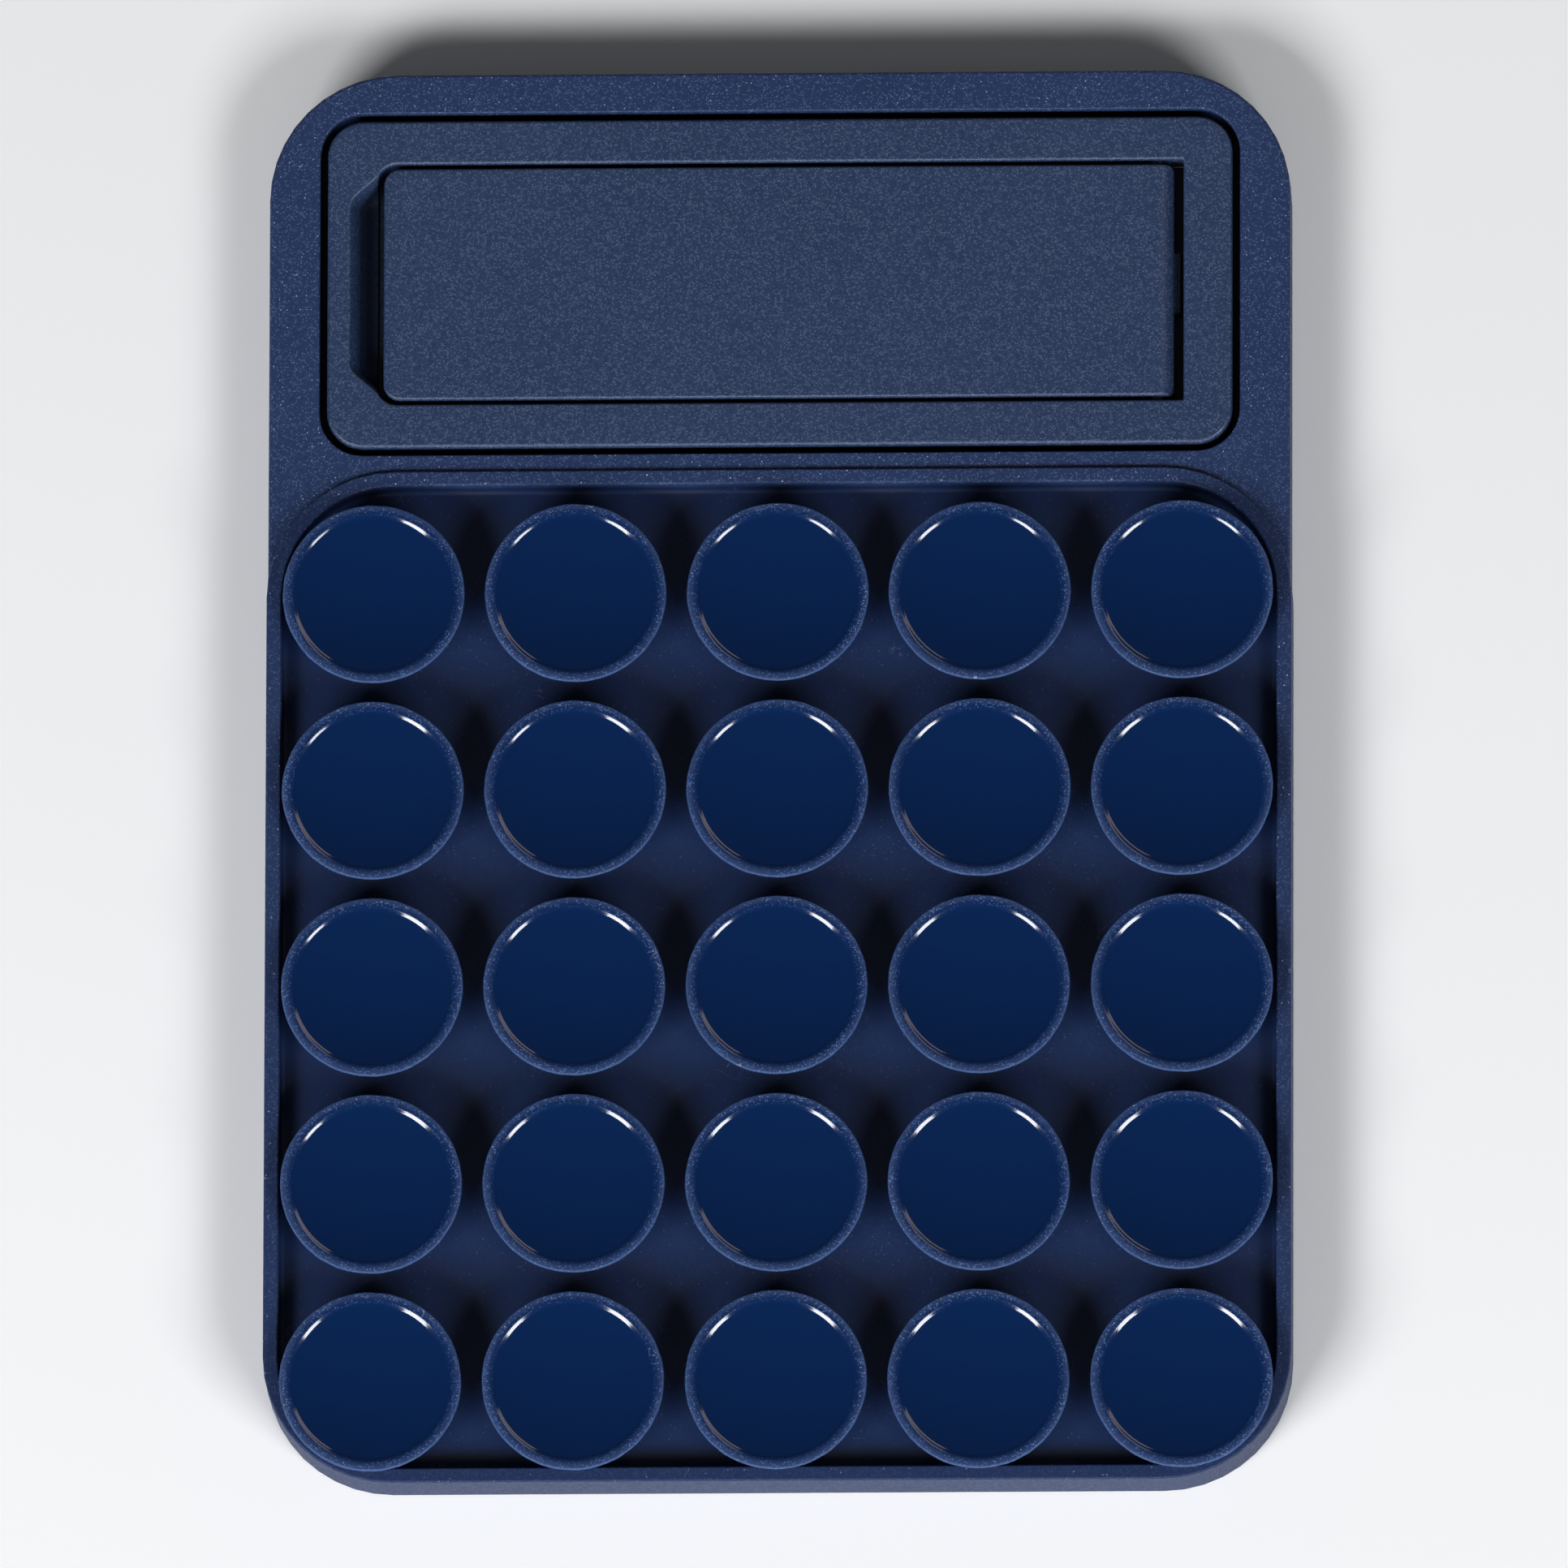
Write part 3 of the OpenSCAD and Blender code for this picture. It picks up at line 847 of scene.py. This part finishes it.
# The leg is a stack of rings from its free end to a half-round barrel about the pin, with a heel and a bore.
def makeLeg(s):
    low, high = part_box("stand_leg")
    halfWidth, halfThick = (high.y - low.y) / 2, (high.z - low.z) / 2
    centreY, centreZ = (high.y + low.y) / 2, (high.z + low.z) / 2
    corner, edge = s["cornerRadius"], s["edgeFillet"]
    distances = [edge * (1 - math.cos(math.radians(a))) for a in range(0, 91, 15)]
    distances += [edge + (corner - edge) * (1 - math.cos(math.radians(a))) for a in range(12, 91, 13)]
    distances.append(2 * corner)
    rings = []
    for distance in distances:
        ringWidth, ringThick = halfWidth - inset(corner, distance), halfThick - inset(edge, distance)
        rings.append(legRing(low.x + distance, centreY, centreZ, ringWidth, ringThick, edge))
    end = hingePoint.x + halfThick
    for angle in range(0, 90, 6):
        x = hingePoint.x + halfThick * math.sin(math.radians(angle))
        ringWidth = halfWidth - inset(s["hingeCorner"], end - x)
        ringThick = halfThick * math.cos(math.radians(angle))
        rings.append(legRing(x, centreY, centreZ, ringWidth, ringThick, edge))
    leg = solidFromRings("standLeg", rings)
    heelRadius = halfThick + s["heelReach"]
    heelEnd = s["heelSpan"] - s["heelLead"]
    corners = [(hingePoint.x, hingePoint.z)]
    corners += arc(hingePoint.x, hingePoint.z, heelRadius, -s["heelLead"], heelEnd, 6)
    heel = solidFromRings("heel", [
        [(x, centreY + side, z) for x, z in corners] for side in (s["heelHalf"], -s["heelHalf"])])
    bore = cylinderAlong(
        "bore", (0, 1, 0), (hingePoint.x, low.y - mm, hingePoint.z), high.y - low.y + 2 * mm, s["boreRadius"])
    combine(leg, "UNION", heel)
    combine(leg, "DIFFERENCE", bore)
    paintHeelShade(leg, halfThick)
    shade(leg)
    return leg


leg = makeLeg(legSettings)
dress(leg, plasticMaterial, "leg", "plastic", "stand_leg")
print("leg made:", len(leg.data.polygons), "faces")


# Pieces whose CAD shape stays

edgeWidths = {"hinge_pin": 0.1 * mm, "backing_plate": 0.12 * mm, "back_adhesive": 0.06 * mm}


def dressNode(node, material):
    piece = frame["nodes"][node]
    piece.data.materials.clear()
    piece.data.materials.append(material)
    bevel = piece.modifiers.new("softEdge", "BEVEL")
    bevel.width = edgeWidths[node]
    bevel.segments = 2
    bevel.limit_method = "ANGLE"
    bevel.angle_limit = math.radians(40)


dressNode("hinge_pin", steelMaterial)
dressNode("backing_plate", plateMaterial)
dressNode("back_adhesive", tapeMaterial)
print("pin, plate and tape dressed")


# Studio

studioSettings = {
    "floorTone": linear(246, 247, 249), "floorSize": 6.0, "worldTone": (1.0, 1.0, 1.0, 1.0),
    "worldStrength": 0.08, "worldGlossStrength": 0.05,
    "viewDistance": 2.9, "fieldWidth": 103.92 * mm, "tiltDown": 11.6, "tiltAcross": 2.5, "roll": 0.153,
    "aim": (0.28 * mm, -0.2 * mm, 2.5 * mm), "sensorWidth": 36,
}

# Softboxes: direction and height in degrees, size in metres and power in watts. The glint boxes are near
# and light only what is glossy, and the others are further off and light only what is matt.
glintDistance, boxDistance = 0.75, 1.1
glintBoxes = [
    {"name": "keyGlint", "around": -136, "up": 44, "size": (0.20, 0.13), "power": 2.5},
    {"name": "fillGlint", "around": -39, "up": 45.5, "size": (0.18, 0.12), "power": 2.0},
    {"name": "frontGlint", "around": -90, "up": 26, "size": (0.6, 0.12), "power": 2.4},
    {"name": "warmBounce", "around": 52, "up": 38, "size": (0.4, 0.15), "power": 0.55, "tint": (1, .82, .72)},
]
softBoxes = [
    {"name": "keyBox", "around": -130, "up": 36, "size": (0.46, 0.34), "power": 9.7},
    {"name": "fillBox", "around": -50, "up": 37, "size": (0.46, 0.34), "power": 7.0},
    {"name": "frontBox", "around": -90, "up": 30, "size": (0.9, 0.18), "power": 1.1},
]


# A light's direction: degrees around the object from +X, and up from the floor.
def towards(around, up):
    a, e = math.radians(around), math.radians(up)
    return Vector((math.cos(a) * math.cos(e), math.sin(a) * math.cos(e), math.sin(e)))


def makeFloor(s):
    half = s["floorSize"] / 2
    bm = bmesh.new()
    verts = [bm.verts.new((x * half, y * half, 0)) for x, y in ((-1, -1), (1, -1), (1, 1), (-1, 1))]
    bm.faces.new(verts)
    floor = meshObject("studioFloor", bm)
    material, _, shader, _ = newMaterial("paleFloor")
    shader.inputs["Base Color"].default_value = s["floorTone"]
    shader.inputs["Roughness"].default_value = 0.9
    shader.inputs["Specular IOR Level"].default_value = 0.1
    floor.data.materials.append(material)


def makeWorld(s):
    world = bpy.data.worlds.new("studio")
    scene.world = world
    world.use_nodes = True
    tree = world.node_tree
    background = tree.nodes["Background"]
    background.inputs["Color"].default_value = s["worldTone"]
    gloss = addNode(tree, "ShaderNodeLightPath").outputs["Is Glossy Ray"]
    strength = remap(tree, gloss, 0, 1, s["worldStrength"], s["worldGlossStrength"])
    tree.links.new(strength, background.inputs["Strength"])


def makeSoftbox(box, distance, forGloss):
    light = bpy.data.lights.new(box["name"], "AREA")
    light.shape = "RECTANGLE"
    light.size, light.size_y = box["size"]
    light.energy = box["power"]
    light.color = box.get("tint", (1.0, 1.0, 1.0))
    lamp = bpy.data.objects.new(box["name"], light)
    scene.collection.objects.link(lamp)
    direction = towards(box["around"], box["up"])
    lamp.location = direction * distance
    lamp.rotation_euler = direction.to_track_quat("Z", "Y").to_euler()
    lamp.visible_glossy = forGloss
    lamp.visible_diffuse = not forGloss


def makeCamera(s):
    lens = bpy.data.cameras.new("camera")
    camera = bpy.data.objects.new("camera", lens)
    scene.collection.objects.link(camera)
    across, down = math.tan(math.radians(s["tiltAcross"])), math.tan(math.radians(s["tiltDown"]))
    back = Vector((across, -down, 1)).normalized()
    right = Matrix.Rotation(math.radians(s["roll"]), 3, back) @ Vector((0, 1, 0)).cross(back).normalized()
    up = back.cross(right)
    place = Matrix((right, up, back)).transposed().to_4x4()
    place.translation = Vector(s["aim"]) + back * s["viewDistance"]
    camera.matrix_world = place
    lens.sensor_width = s["sensorWidth"]
    lens.lens = s["sensorWidth"] * s["viewDistance"] / s["fieldWidth"]
    lens.clip_start, lens.clip_end = 0.1, 20
    scene.camera = camera


makeFloor(studioSettings)
makeWorld(studioSettings)
for box in glintBoxes:
    makeSoftbox(box, glintDistance, True)
for box in softBoxes:
    makeSoftbox(box, boxDistance, False)
makeCamera(studioSettings)
scene.view_settings.view_transform = "Standard"
print("studio made")
